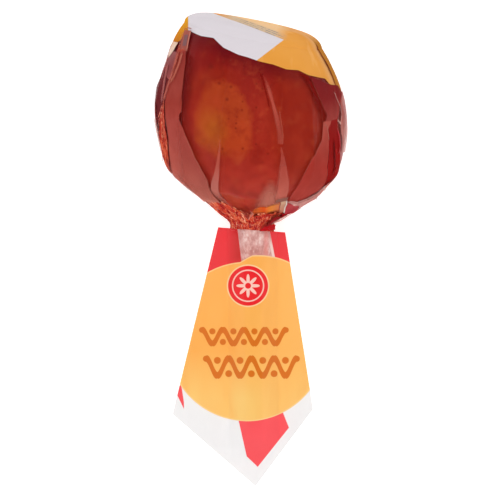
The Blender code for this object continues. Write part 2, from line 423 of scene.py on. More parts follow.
def toffee_material():
    """Clear red toffee over an apple, with the apple's paler cheeks glowing through."""
    g = Graph(bpy.data.materials.new("toffee"))
    x, y, z = g.place()
    sway = g.times(g.minus(g.noise(0, 110, 4, 0.6), 0.5), 0.7)
    top_glow = g.plus(g.distance((x, -12, 9), (y, 10.5, 7.5), (z, 62, 16)), sway)
    # Darker towards the top, paler towards the neck and a little darker on the right; the darkening past x of
    # -20 on the left is painted shade.
    base = g.blend(g.ramp(y, 24, 2), (124, 18, 18), (156, 40, 27))
    base = g.washes(base, (y, -12, -28, 1, (173, 50, 38)),
                    (g.distance((x, 19, 13), (y, 0, 26)), 1.1, 0.7, 1, (144, 34, 18)),
                    (x, -20, -25, 0.6, (112, 16, 18)),
                    (top_glow, 1.2, 0.6, 0.8, (152, 42, 22)))
    for (cx, cy, cz), (rx, ry, rz), strength in CHEEKS:
        far = g.plus(g.distance((x, cx, rx), (y, cy, ry), (z, cz, rz)), sway)
        low = g.plus(g.distance((x, cx + 5.6, 5.6), (y, cy - 6, 8.4), (z, cz, rz)), sway)
        near = g.plus(g.distance((x, cx - 3.2, rx * 0.56), (y, cy - 2.6, ry * 0.56), (z, cz, rz)), sway)
        rim = g.times(g.ramp(far, 1.4, 1.1), g.ramp(far, 0.95, 1.1, 0, 0.35 * strength))
        base = g.washes(g.blend(rim, base, (134, 24, 18)),
                        (far, 1.08, 0.88, strength, (164, 57, 25)),
                        (low, 1.1, 0.7, 0.8 * strength, (173, 60, 28)),
                        (near, 1.2, 0.2, 0.95 * strength, (176, 84, 24)))
    # Long streaks: the paler ones are painted highlights, with darker streaks between them.
    sheen_streaks = g.noise(41, 150, 4, 0.6, 0.6)
    base = g.washes(base, (g.noise(3, 280, 4, 0.65), 0.52, 0.32, 0.4, (128, 26, 16)),
                    (sheen_streaks, 0.5, 0.66, 0.2, (186, 62, 38)),
                    (sheen_streaks, 0.48, 0.34, 0.3, (122, 20, 16)),
                    (g.noise(13, 230, 3, 0.6), 0.56, 0.74, 0.25, (196, 84, 48)))
    vein = g.math("ABSOLUTE", g.minus(g.noise(31, 52, 2, 0.5, 1.7), 0.5))
    smoke = g.times(g.ramp(vein, 0, 0.03, 0.2, 0), g.ramp(y, 7, 12))
    base = g.blend(smoke, base, (92, 12, 14))
    specks = g.node("TexVoronoi", Vector=g.node("TexCoord").outputs["Object"], Scale=430)
    few = g.ramp(g.node("SeparateColor", Color=specks.outputs["Color"]), 0.6, 0.75)
    base = g.blend(g.times(g.ramp(specks.outputs["Distance"], 0.1, 0.24, 0.6, 0), few), base, (104, 24, 12))
    upper_side = g.ramp(z, 40, 46)
    for cx, cy, size in SPOTS:
        mark = g.ramp(g.distance((x, cx, size), (y, cy, size)), 1.1, 0.3, 0, 0.5)
        base = g.blend(g.times(mark, upper_side), base, (96, 18, 14))
    bump = g.node("Bump", Strength=0.25, Distance=0.0006, Height=g.noise(5, 240, 3))
    shader = g.node("BsdfPrincipled", Base_Color=base, Roughness=0.3, IOR=1.5, Normal=bump)
    shader.inputs["Specular IOR Level"].default_value = 0.04
    return g.surface(shader)


def film_bump(g, strength=0.15):
    height = g.noise(11, 90, 2, 0.5, 0.35)
    return g.node("Bump", Strength=strength, Distance=0.0015, Height=height)


def cap_yellow(g, x, y, z, around, height):
    """Yellow of the printed cap: gold down its left side, and down its right a painted highlight in pale
    yellow beside a dark line.
    """
    # A darker yellow than the tail's, darker still lower down: partly the toffee behind the ink, partly
    # painted shade.
    yellow = g.blend(g.ramp(z, 30, 60), (214, 142, 56), (224, 150, 60))
    streak = g.noise(23, 260, 2, 0.5, 0.2)
    yellow = g.washes(yellow, (g.noise(2, 60), 0.35, 0.65, 0.5, (232, 162, 74)),
                      (streak, 0.58, 0.7, 0.35, (240, 182, 112)))
    gold = g.blend(g.ramp(y, 25, 36), (190, 98, 4), (222, 156, 26))
    yellow = g.blend(g.times(g.ramp(x, -20.5, -22), g.ramp(z, 16, 30)), yellow, gold)
    inward = g.minus(around, g.ramp(height, 17, 33, 8, 13.2))
    # pale yellow beside the dark line on the right: a painted highlight
    pale = g.times(g.ramp(inward, 6, 1.5, 0, 0.75), g.ramp(around, -24, -20))
    line = g.times(g.ramp(inward, 0.3, -0.1), g.ramp(around, -12, 3), g.ramp(height, 34.3, 32))
    return g.blend(line, g.blend(pale, yellow, (220, 162, 104)), (180, 116, 34))


def printed_strip(g, x, y, yellow):
    """A paler strip past the panel's upper edge, with broken bars in place of small print."""
    off = g.scaled(x, 0.366, g.scaled(y, 0.93, -30.3))
    along = g.scaled(x, 0.93, g.scaled(y, -0.366, 35.8))
    strip = g.times(g.ramp(off, 6, 4.6), g.ramp(off, -0.3, 0.1), g.ramp(along, 38, 33),
                    g.ramp(x, -12, -6))
    paper = g.blend(g.ramp(off, 1.3, 2.4), (206, 182, 152), (236, 196, 148))
    bars = g.times(g.ramp(g.math("SINE", g.times(off, 9)), 0.4, 0.8),
                   g.ramp(g.noise(27, 700, 1), 0.42, 0.48),
                   g.ramp(along, 17, 22), g.ramp(off, 2.2, 1.6), strip, 0.85)
    return g.blend(bars, g.blend(g.times(strip, 0.9), yellow, paper), (126, 122, 128))


def head_film_material():
    """Clear glossy film round the apple, with the yellow printed cap and its white panel over the foot."""
    g = Graph(bpy.data.materials.new("head_film"))
    x, y, z = g.place()
    level = g.value("ink")
    yellow = printed_strip(g, x, y, cap_yellow(g, x, y, z, g.value("round"), g.value("height")))
    panel = g.inside(x, y, [(-22.2, 41.3), (12.1, 27.8), (3, 20.8), (-10.6, 10.3), (-22.2, 10.3)])
    print_colour = g.blend(g.times(panel, g.ramp(z, 22, 22.3)), yellow, (217, 210, 215))
    # Below the print's edge, painted shadow of the print: a thin dark line along the edge and a fainter dark
    # band 5 mm wide.
    below = g.ramp(level, 0.05, -0.05)
    under = g.times(g.ramp(level, -0.35, -0.1), below)
    shadow = g.times(g.ramp(level, -5, -0.2), below)
    colour = g.blend(g.ramp(level, -0.1, 0), g.blend(under, (96, 14, 32), (110, 18, 26)), print_colour)
    coverage = g.most(g.times(g.ramp(level, -0.06, 0.06), 0.985), g.times(under, 0.3), g.times(shadow, 0.3))
    bump = film_bump(g)
    facing = g.node("LayerWeight", Blend=0.5, Normal=bump).outputs["Facing"]
    mirror = g.scaled(g.math("POWER", facing, 5), 0.06, 0.006)
    glint = g.node("BsdfGlossy", Roughness=0.09, Normal=bump)
    clear = g.fill("MixShader", mirror, g.node("BsdfTransparent"), glint)
    body = g.fill("MixShader", 0.015, g.node("BsdfDiffuse", Color=colour), glint)
    return g.surface(g.fill("MixShader", coverage, clear, body))


def film_layer(g, coverage, colour, bumps, gloss=0.15):
    """A layer of film that hides what lies behind it as far as coverage says."""
    bump = film_bump(g, bumps)
    glint = g.node("BsdfGlossy", Roughness=gloss, Normal=bump)
    body = g.fill("MixShader", 0.007, g.node("BsdfDiffuse", Color=colour, Normal=bump), glint)
    return g.surface(g.fill("MixShader", coverage, g.node("BsdfTransparent"), body))


def folds_material():
    """Folds and pleats of the clear film, each in its own tint over the toffee: tints that hold painted
    reflections, highlights and shade along with the film's haze.
    """
    g = Graph(bpy.data.materials.new("film_folds"))
    cloud = g.wrapped_noise(0.16, 0.13, 2)
    colour = g.washes(g.value("tint", "Color"), (cloud, 0.35, 0.7, 0.16, (120, 24, 22)))
    haze = g.math("MULTIPLY", g.value("haze"), g.ramp(cloud, 0.3, 0.7, 1.06, 0.96), clamp=True)
    return film_layer(g, haze, colour, 0.03)


# Colours of crumpled film over the toffee, from dark red to pale: the toffee seen through it, rising to
# painted glints.
TOFFEE_AND_GLINTS = ((0.25, (128, 10, 20)), (0.36, (172, 28, 30)), (0.47, (200, 52, 40)), (0.57, (220, 82, 54)),
          (0.66, (238, 124, 84)), (0.76, (252, 190, 158)))


def crumple(g, around, along, seed=0, slant=0, crease_highlights=0.75):
    """Small crumpled patches in the colours listed above, with pale creases of painted highlight and dark
    creases of painted shade between them.

    slant turns them off the head's axis, and veins says how strong the pale creases are.
    """
    sway = g.minus(g.wrapped_noise(around * 0.5, along * 0.8, 2, seed=seed + 3), 0.5)
    across = g.scaled(g.value("round"), around, g.scaled(g.value("height"), slant, g.times(sway, 3)))
    down = g.scaled(g.value("height"), along, g.times(sway, 2.2))
    spot = g.node("CombineXYZ", X=across, Y=down, Z=seed)
    cells = g.node("TexVoronoi", Vector=spot, Scale=1)
    edges = g.node("TexVoronoi", {"feature": "DISTANCE_TO_EDGE"}, Vector=spot, Scale=1)
    share = g.node("SeparateColor", Color=cells.outputs["Color"])
    fine = g.wrapped_noise(around * 2, along * 1.8, 3, distortion=1, seed=seed + 5)
    pick = g.plus(g.times(share, 0.35), g.times(fine, 0.65))
    line = g.ramp(edges.outputs["Distance"], 0.01, 0.08, 1, 0)
    bright = g.ramp(g.wrapped_noise(around, along, 1, seed=seed + 7), 0.54, 0.6)
    colour = g.blend(g.times(line, bright, crease_highlights), g.steps(pick, TOFFEE_AND_GLINTS), (248, 168, 136))
    dark = g.times(line, g.minus(0.5, g.times(bright, 0.5)))
    return g.blend(dark, colour, (118, 12, 16)), pick


def crumpled_material():
    """Crumpled film over the toffee, full of small red, orange and pale glints."""
    g = Graph(bpy.data.materials.new("crumpled_film"))
    colour, pick = crumple(g, 0.9, 0.45)
    haze = g.math("MULTIPLY", g.value("haze"), g.ramp(pick, 0.3, 0.55, 0.9, 1.2), clamp=True)
    colour = g.blend(0.4, colour, g.value("tint", "Color"))
    return film_layer(g, haze, colour, 0.4, gloss=0.2)


def gathered_material():
    """The film bunched at the neck, its crumples in the toffee's colours with painted glints and shade."""
    g = Graph(bpy.data.materials.new("gathered_film"))
    colour, pick = crumple(g, 0.42, 0.5, seed=2, slant=0.4, crease_highlights=0.6)
    ragged = g.scaled(g.minus(pick, 0.5), 5, g.value("below"))
    coverage = g.ramp(ragged, 0, 0.8, 0, 0.95)
    return film_layer(g, coverage, colour, 0.4, gloss=0.2)


SEAL_X, SEAL_Y = -0.7, -60.4
# The two waves of ornament on the disc: centre, middle height, wave length, swing and half thickness.
WAVES = ((-2.2, -78.8, 7.6, 2.4, 1.35), (0.5, -89.8, 8.2, 3, 1.5))
# Outlines of the red stripes: at the neck's left and right, at the tip and at the left corner.
STRIPES = ([(-30, -30), (-5.7, -30), (-2.6, -55), (-30, -62)],
           [(4.9, -30), (30, -30), (30, -62), (10, -55)],
           [(-1.2, -122.2), (-6.2, -100), (9.4, -100), (14.1, -111.8), (2.8, -126)],
           [(-26.6, -99.4), (-25, -95.2), (-23.9, -102.6), (-23.9, -105)])


def disc_colour(g, x, y, far):
    """The disc's yellow, paler towards its bottom; its lighter right side and its light and dark streaks are
    painted shading, and its paler rim a painted highlight.
    """
    yellow = g.blend(g.ramp(y, -84, -101), (254, 176, 84), (254, 207, 120))
    return g.washes(
        yellow, (x, 2, 12, 0.6, (254, 194, 106)),
        (g.noise(15, 70, 2, 0.5, 0.12), 0.4, 0.6, 0.45, (254, 188, 98)),
        (g.noise(25, 110, 2, 0.5, 0.12), 0.55, 0.7, 0.4, (246, 170, 80)),
        (far, 0.982, 0.99, 0.8, (254, 216, 150)))


def seal(g, x, y, colour):
    """A red seal over the disc's top, with a ring and a rosette of eight petals."""
    far = g.distance((x, SEAL_X, 1), (y, SEAL_Y, 1))
    colour = g.washes(colour, (far, 7.75, 7.6, 1, (254, 214, 160)), (far, 7.3, 7.15, 1, (238, 42, 48)))
    ring = g.times(g.ramp(far, 5.9, 5.75), g.ramp(far, 5.3, 5.45))
    spin = g.math("ARCTAN2", g.minus(y, SEAL_Y), g.minus(x, SEAL_X))
    petal = g.scaled(g.math("COSINE", g.times(spin, 8)), 1.3, 2.9)
    rosette = g.times(g.ramp(g.minus(far, petal), 0.08, -0.08), g.ramp(far, 1, 1.15))
    return g.blend(g.most(ring, rosette), colour, (254, 205, 190))


def wave_ornament(g, x, y, colour, centre, middle, wave, swing, half):
    """A wave that ends round at two of its crests, with a dot in each of its hollows."""
    reach = 2 * wave
    from_middle = g.minus(x, centre)
    held = g.most(g.math("MINIMUM", from_middle, reach), -reach)
    turn = g.times(held, math.tau / wave)
    away = g.minus(y, g.scaled(g.math("COSINE", turn), swing, middle))
    past = g.minus(from_middle, held)
    gap = g.math("SQRT", g.plus(g.math("POWER", away, 2), g.math("POWER", past, 2)))
    thick = g.scaled(g.math("ABSOLUTE", g.math("SINE", turn)), 0.6 * half, half * 0.75)
    band = g.ramp(g.minus(gap, thick), 0.06, -0.06)
    step = g.minus(g.math("FRACT", g.scaled(from_middle, 2 / wave, 0.5)), 0.5)
    side = g.math("SIGN", g.times(g.math("COSINE", turn), -1))
    dot_y = g.scaled(side, swing * 0.8, middle)
    dot = g.distance((step, 0, 2 / wave), (g.minus(y, dot_y), 0, 1))
    within = g.math("LESS_THAN", g.math("ABSOLUTE", from_middle), reach - wave / 4)
    dots = g.times(g.ramp(dot, half * 0.9, half * 0.76), within)
    return g.blend(g.most(band, dots), colour, (219, 115, 35))


def bunched_colour(g, x, y):
    """Milky film bunched over the stick, seen between the red stripes, its crinkles' light and shade painted
    as paler and darker patches and lines.
    """
    bunch = g.noise(17, 240, 4, 0.65, 0.7)
    fine = g.noise(37, 620, 3, 0.7, 0.5)
    fold = g.steps(bunch, ((0.32, (176, 118, 116)), (0.45, (212, 158, 150)), (0.57, (228, 180, 172)),
                           (0.7, (240, 208, 200))))
    fold = g.washes(fold, (fine, 0.5, 0.4, 0.3, (176, 108, 108)), (fine, 0.53, 0.64, 0.7, (246, 222, 216)),
                    (x, -1.5, -4.5, 0.5, (178, 112, 112)),
                    (g.math("ABSOLUTE", g.minus(x, 5.8)), 1.2, 0.3, 0.6, (222, 128, 120)),
                    (y, -45, -50, 0.4, (220, 142, 128)))
    flap = g.times(g.ramp(g.scaled(y, 0.2, x), -2.2, -1.8), g.ramp(y, -43, -46))
    return g.blend(flap, fold, (246, 216, 206))


def tail_material():
    """The printed tail: a yellow disc and red stripes on milky film, over the crumpled film at the stick."""
    g = Graph(bpy.data.materials.new("printed_tail"))
    x, y, _ = g.place()
    # the sheet is pulled up over the stick and to the right of it
    pulled = g.plus(g.ramp(x, -3.6, 0.8, 0, 2.4), g.ramp(x, 0.8, 14, 0, 1.9))
    pushed_y = g.minus(y, g.times(pulled, g.ramp(y, -68, -56.5)))
    far = g.distance((x, -1.1, 28.8), (pushed_y, -80.6, 28.8))
    disc = g.ramp(far, 1.002, 0.998)
    colour = seal(g, x, y, disc_colour(g, x, y, far))
    for wave in WAVES:
        colour = wave_ornament(g, x, y, colour, *wave)
    red_tone = g.blend(g.ramp(y, -60, -104), (236, 58, 64), (253, 88, 94))
    # The left shoulder's red is darker beside the window: partly the bunched film behind the print, partly
    # painted shade.
    shade_behind_shoulder = g.times(g.ramp(x, -8.8, -4.6), g.ramp(x, 0, -1), g.ramp(y, -56, -50))
    colour = g.blend(disc, g.blend(shade_behind_shoulder, red_tone, (204, 46, 46)), colour)
    printed = g.most(disc, *(g.inside(x, y, outline) for outline in STRIPES))
    window = g.times(g.ramp(y, -56, -55.5), g.minus(1, printed))
    milky = g.blend(g.noise(19, 40, 1), (243, 241, 241), (250, 248, 247))
    colour = g.blend(printed, g.blend(window, milky, bunched_colour(g, x, y)), colour)
    rumple = g.noise(9, 120, 3, 0.6, 0.4)
    coverage = g.most(g.times(printed, 0.94), g.ramp(rumple, 0.3, 0.8, 0.9, 0.97), g.times(window, 0.93))
    coverage = g.times(coverage, g.ramp(g.value("front"), 0, 1, 0.8, 1))
    return film_layer(g, coverage, colour, 0.2)


def wood_material():
    g = Graph(bpy.data.materials.new("pale_wood"))
    grain = g.noise(6, 900, 4, 0.6, 0.05)
    base = g.blend(g.ramp(grain, 0.35, 0.7), (226, 196, 156), (203, 166, 122))
    bump = g.node("Bump", Strength=0.2, Distance=0.0002, Height=grain)
    shader = g.node("BsdfPrincipled", Base_Color=base, Roughness=0.6, Normal=bump)
    return g.surface(shader)


# --- the pieces ---
# Lowest height of each above the floor.
APPLE_CLEARANCE = 0.6
FILM_CLEARANCE = 0.05
FOLD_CLEARANCE = 0.08


POLE_GAP = 0.02              # keeps the first row off the middle of the foot


def head_grid(turns, start, stop, rows):
    """Degrees round the head by even steps from start to stop, from the underside round."""
    return np.meshgrid(np.linspace(-90, 270, turns), np.linspace(start, stop, rows), indexing="ij")


def make_apple():
    degrees, along = head_grid(361, POLE_GAP, APPLE_LINE[0][-1], 170)
    height = np.interp(along, APPLE_LINE[0], APPLE_LINE[1])
    points = head_point(APPLE_LINE, np.radians(degrees), along, facet(degrees, height) - FILM_LIFT)
    for row in points.reshape(-1, 3):
        swell = noise.noise(Vector(row / 9)) * 0.08 + noise.noise(Vector(row / 3)) * 0.04 - 0.1
        row += (row - HEAD_CENTRE) / np.linalg.norm(row - HEAD_CENTRE) * swell
    points[-1] = points[0]
    points[..., 2] = np.maximum(points[..., 2], APPLE_CLEARANCE)
    add_piece(grid_mesh("toffee_apple", points), toffee_material())


# Height of the printed cap's wavy edge, at degrees round the head.
PRINT_EDGE = ((0, 15.4), (6, 16.6), (12, 19), (21, 19.2), (24, 19.8), (28, 21.4), (46, 22.3), (54, 23.4),
              (64, 23.2), (74, 24), (84, 24.2), (92, 24.7), (99, 24.9), (111, 26), (121, 28.2),
              (133, 27.8), (151, 28.5), (155, 24.5), (166, 22.2), (176, 20.5), (186, 19), (200, 22),
              (215, 20.5), (232, 24), (250, 21), (268, 23.5), (285, 19.5), (303, 23), (320, 20), (338, 22),
              (350, 17.5), (360, 15.4))


def height_round(spots, degrees):
    """Height of a line round the head, given as (degrees, height) spots."""
    turns, heights = zip(*spots)
    return np.interp(np.mod(degrees, 360), turns, heights)


def make_head_film():
    degrees, along = head_grid(490, POLE_GAP, FILM_LINE[0][-1], 200)
    height = np.interp(along, FILM_LINE[0], FILM_LINE[1])
    points = head_point(FILM_LINE, np.radians(degrees), along, FILM_LIFT + facet(degrees, height))
    points[..., 2] = np.maximum(points[..., 2], FILM_CLEARANCE)
    ink = height - height_round(PRINT_EDGE, degrees)
    values = {"ink": ink, "round": degrees * MM_A_DEGREE, "height": height}
    film = add_piece(grid_mesh("film_round_apple", points, values=values), head_film_material(), sharp=25)
    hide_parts("wrapper")


FOLD_ROWS, FOLD_COLUMNS = 60, 28


def trace(line):
    """Even steps along a line, which is given as degrees and height in turn."""
    degrees, heights = np.reshape(np.array(line, float), (-1, 2)).T
    run = np.concatenate([[0], np.cumsum(np.hypot(np.diff(degrees) * MM_A_DEGREE, np.diff(heights)))])
    part = np.linspace(0, run[-1], FOLD_ROWS)
    return np.interp(part, run, degrees), np.interp(part, run, heights)


def along_rows(numbers):
    """One number for all rows, or several spread evenly over them with straight steps in between."""
    numbers = np.atleast_1d(numbers)
    return np.interp(np.linspace(0, 1, FOLD_ROWS), np.linspace(0, 1, len(numbers)), numbers)


def tint_rows(tints):
    """A tint for each row: one for all, or several spread from the first row to the last."""
    tints = tints if isinstance(tints[0], tuple) else (tints,)
    return np.stack([along_rows(channel) for channel in zip(*(tone(*tint) for tint in tints))], -1)[:, None]


def sheet(first, second, tints, haze, lift=0.4, soft=(0, 0)):
    """A layer of film between two lines on the head, flatter than the head is.

    haze gives how dense it is from the start of the lines to their end, lift how far it stands off the film
    at each line, and soft the shares of its width over which it fades out towards them.
    """
    across = np.linspace(0, 1, FOLD_COLUMNS)
    (first_turn, first_height), (second_turn, second_height) = trace(first), trace(second)
    degrees = mix(first_turn[:, None], second_turn[:, None], across)
    height = mix(first_height[:, None], second_height[:, None], across)
    sag = BELLY_RADIUS * (1 - np.cos(np.radians(second_turn - first_turn) / 2))
    first_lift, second_lift = lift if isinstance(lift, tuple) else (lift, lift)
    stand = mix(first_lift, second_lift, across) + 0.15 * sag[:, None] * (2 * across - 1) ** 2
    points = on_film(degrees, height, stand)
    points[..., 2] = np.maximum(points[..., 2], FOLD_CLEARANCE)
    fade = smooth(-1e-6, soft[0] + 1e-6, across) * smooth(1 + 1e-6, 1 - soft[1] - 1e-6, across)
    values = {"haze": along_rows(haze)[:, None] * fade, "round": degrees * MM_A_DEGREE,
              "height": height, "tint": tint_rows(tints)}
    return grid_mesh("sheet", points, values=values)


def crease(line, tint, width, haze, lift=0.6):
    """A narrow fold along a line on the head, tapered at both ends; a pale tint paints a highlight along it,
    a dark one shade in it.
    """
    degrees, height = trace(line)
    middle = on_film(degrees, height, lift)
    out = on_film(degrees, height, lift + 1) - middle
    side = np.cross(out, np.gradient(middle, axis=0))
    side /= np.linalg.norm(side, axis=1)[:, None]
    part = np.linspace(0, 1, FOLD_ROWS)
    taper = smooth(0, 0.15, part) * smooth(1, 0.85, part)
    across = np.array((-0.5, -0.25, 0, 0.25, 0.5))
    half_widths = across * (0.3 + 0.7 * taper[:, None]) * width
    points = middle[:, None] + side[:, None] * half_widths[..., None]
    points += out[:, None] * (0.1 - 0.4 * across ** 2)[None, :, None]
    points[..., 2] = np.maximum(points[..., 2], FOLD_CLEARANCE)
    values = {"haze": haze * taper[:, None] * np.array((0, 0.75, 1, 0.75, 0)),
              "round": degrees[:, None] * MM_A_DEGREE, "height": height[:, None], "tint": tint_rows(tint)}
    return grid_mesh("crease", points, values=values)


# Tints of the film's folds, as they look over the toffee. Pale ones hold painted reflections and highlights
# with the haze, and SHADE is painted shadow.
ROSE = (190, 80, 68)
DUSK = (168, 68, 54)
BLUSH = (206, 112, 94)
PEARL = (228, 176, 164)
CREAM = (240, 224, 212)
PLUM = (122, 22, 26)
SHADE = (126, 26, 26)
BLOOD = (128, 6, 4)
UMBER = (126, 44, 2)

# Lines that folds share: the inner edges of the left pleat and of the facet under it, and two on the right.
PLEAT_EDGE = (141, 22, 138, 19, 137, 17, 135.5, 14, 133.5, 10, 132, 7, 132, 4, 134.5, 2)
FACET_EDGE = (134.5, 2, 131.5, -1, 130, -3, 126, -8, 124, -11, 119, -15, 114, -18, 112, -22, 112, -27)
RED_EDGE = (46, 22, 42, 18, 38, 14, 34, 11)
RED_SIDE = (34, 6, 34, -1, 34, -7, 30, -13, 27, -16)

# A sheet is its two lines, tints, haze, lift and soft. A crease is its line, tint, width, haze and lift.
FOLD_SHEETS = (
    # left: the long pleat, the broad facet under it and the narrow ones at their edges, hazy with painted
    # reflections; SHADE is painted shadow
    ((149, 21, 150, 18, 150, 15, 150, 11, 150, 7, 151, 3, 148, -2), PLEAT_EDGE,
     ((154, 56, 48), (150, 54, 46), (166, 66, 56), (158, 56, 46), (176, 70, 60)), (0.9, 0.9, 0.88, 0.85),
     (0.55, 0.75)),
    ((141, 22, 138, 18, 136, 14, 134, 10, 132, 5, 132, 2, 128, -3),
     (127, 20, 126, 16, 125, 12, 125, 9, 127, 4, 129, 0, 127, -4), SHADE, (0.5, 0.7, 0.6, 0.25, 0), 0.3,
     (0, 1)),
    ((151, 3, 148, -5, 148, -9, 150, -13, 150, -17, 152, -22, 156, -30), FACET_EDGE,
     ((174, 70, 60), (182, 78, 68), (190, 92, 80), (206, 126, 110)), (0.88, 0.85, 0.85, 0.88, 0.85),
     (0.5, 0.7)),
    ((194, -14, 192, -19, 188, -25, 180, -31), (158, -14, 154, -19, 150, -25, 144, -31),
     ((184, 96, 84), (202, 122, 110), (198, 112, 96)), (0.3, 0.9, 0.92, 0.9), 0.3),
    ((134.5, 2, 138, -4, 143, -9, 146, -14, 148, -20, 150, -27), FACET_EDGE,
     ((182, 74, 66), (184, 84, 74), (192, 100, 86)), (0.6, 0.55, 0.5, 0.5, 0.3), (0.95, 1.05), (0.6, 0)),
    ((144, -18, 146, -24), (132, -20, 134, -27), (162, 68, 60), (0, 0.5, 0.3), 0.9, (0.5, 0.5)),
    # the small tab at the print's corner
    ((156, 28, 150, 22), (145.5, 28.5, 140, 22), (172, 92, 80), (0.9, 0.8), 0.5),
    ((151, 26.5, 147.5, 23), (146.5, 27, 143, 23.5), (132, 92, 94), (0.9, 0.85), 0.6),
    # between the pleat and the outline: dark sheets of painted shade along the left edge, and pale ones of
    # painted reflection
    ((168, 20, 166, 16, 162, 13, 156, 12), (148, 21, 147, 17, 147, 14, 147, 12),
     ((158, 94, 94), (146, 70, 72), (162, 80, 78)), (0.88, 0.88, 0.85), 0.35),
    ((168, 16, 171, 10, 178, 4, 182, -2, 180, -9), (150, 13, 148, 8, 149, 3, 152, -1, 163, -6),
     ((112, 34, 38), (104, 30, 34), (122, 40, 42)), (0.8, 0.9, 0.9, 0.7), (0.2, 0.25), (0, 0.1)),
    ((197, -1, 197, -7, 195, -15), (168, 0, 167, -7, 165, -15),
     ((114, 34, 36), (158, 70, 66), (184, 104, 92)), (0.85, 0.9, 0.92, 0.9), 0.3),
    ((177, -6, 176, -12, 173, -17), (166, -5, 165, -11, 167, -16), (212, 152, 138), (0.4, 0.85, 0.8, 0.6),
     0.7, (0, 0.7)),
    ((170, 23, 169, 20, 166, 17), (156, 23.5, 158, 21, 163, 18), (234, 200, 178), 0.9, 0.5),
    ((154, -16, 155, -21), (147, -17, 150, -23), (136, 40, 44), (0.5, 0.6, 0.3), 1.1, (0.2, 0.4)),
    # middle: thin streaks, and the folds that spread out towards the neck, hazy with painted reflections
    ((105.5, -1, 107, -6, 109, -11, 111, -17, 112, -21, 112, -26),
     (105, -1, 105.5, -6, 106.5, -11, 106, -17, 105, -21, 103, -26),
     ((200, 84, 62), (204, 96, 78), (204, 120, 108), (190, 100, 84)), (0.3, 0.6, 0.6, 0.65, 0.75, 0.2), 0.8),
    ((82, 21, 79, 17, 76, 14, 74, 10, 72, 5, 72, 1), (78.5, 20, 75, 17, 73, 14, 69.5, 10, 68, 5, 67, 1),
     (192, 84, 70), (0, 0.7, 0.7, 0.62, 0.6, 0.4), 0.5, (0.35, 0.35)),
    ((70, 0, 70, -4, 71, -8, 71, -13, 68, -19, 66, -21), (69, 0, 67, -4, 64, -10, 60, -15, 57, -19, 56, -20),
     ((192, 78, 66), (198, 92, 78), (206, 110, 94)), (0.4, 0.6, 0.65, 0.7, 0.78), 0.6, (0.3, 0)),
    ((76, -11, 79, -17, 81, -22, 83, -27), (70, -13, 65, -17, 60, -20, 57, -22), (204, 122, 104),
     (0, 0.35, 0.6, 0.7, 0.75), 0.7, (0.5, 0.4)),
    # the small bright facets over the neck, in the toffee's orange with painted highlights
    ((82, -26.4, 74, -23.4, 67, -21.8, 61, -20.8), (86, -30, 77, -29.2, 69, -28.4, 56, -27.4),
     ((206, 88, 42), (222, 104, 44), (226, 84, 34), (232, 140, 62), (226, 130, 84)), (0.5, 0.85, 0.9, 0.85),
     1, (0.3, 0.35)),
    ((61, -21.2, 55.5, -27.8), (56, -20.5, 50.5, -27.2), ((230, 186, 154), (216, 140, 116)), (0.75, 0.65),
     1.05, (0.3, 0)),
    ((65, -20.3, 56, -19), (64, -21.6, 56, -20.6), (150, 100, 88), (0.6, 0.9), 1),
    ((99, -27.6, 93, -32.4), (84, -27.2, 92, -32.4), ((166, 52, 42), (138, 58, 54)), (0.5, 0.97), 1.3,
     (0.12, 0.12)),
    # right: facets, the tight red band between them, and the pale rim; the pale tints are painted
    # reflections, the dark red by the upper crease painted shade
    ((58, 23, 53, 21, 49, 18, 47, 16, 45, 13, 42, 9), RED_EDGE + (36, 8), (124, 12, 6),
     (0.8, 0.85, 0.8, 0.6, 0.3), 0.4, (0.7, 0)),
    (RED_EDGE + (36, 9), (24, 19.5, 11, 18.8, 5, 16, 15, 13, 22, 9), (PLUM, (132, 30, 30), (158, 62, 56)),
     0.88, 0.5),
    ((38, 9, 40, 3, 44, 0, 49, -4, 52, -8, 54, -11, 55, -17, 54, -21), (30, 9) + RED_SIDE + (40, -20.5),
     ((182, 82, 70), (176, 56, 46), (184, 68, 58)), (0.88, 0.8, 0.75, 0.75, 0.8), 0.6),
    ((30, 9) + RED_SIDE, (22, 9, 22, 5, 20, 1, 20, -3, 14, -9, 6, -14, 10, -16),
     ((140, 20, 18), (138, 8, 6), (148, 14, 10), (140, 10, 6)), (0.95, 0.97, 0.97, 0.95), 0.5),
    ((14, 16, 13, 11, 18, 8, 19, 4, 16, 0, 16, -4), (-2, 16, -6, 11, -6, 5, -4, 0, 4, -5),
     ((176, 98, 90), (172, 90, 84), (196, 126, 116), (212, 158, 150)), (0.85, 0.8, 0.75, 0.7), 0.5),
    # the pale folds under them, down to the neck, pale with painted reflections
    ((27, -14.5, 30, -18, 38, -20.2, 48, -21, 56, -20.4), (-14, -14, -14, -19, -12, -24, -6, -28.5, 4, -32),
     ((200, 122, 112), (214, 150, 142)), 0.88, (0.8, 0.5), (0.06, 0)),
    ((56, -21.2, 49, -28), (38, -23.3, 20, -31), ((190, 70, 74), (176, 52, 62)), (0.85, 0.92), 1,
     (0, 0.15)),
    ((52, -28.2, 48, -30.4), (6, -29.2, 12, -31.2), (150, 8, 18), 0.95, 0.8),
    ((60, -31, 60, -36.8), (-16, -31.5, -16, -37.5), (150, 30, 34), 0.95, 0.3),
    ((50, -30.8, 58, -35.6), (6, -30.6, 14, -36), (220, 164, 154), 0.85, 0.9, (0.5, 0)),
    ((64, -36.4, 74, -39), (28, -36.9, 28, -39.8), (184, 4, 18), 0.97, 0.9),
)
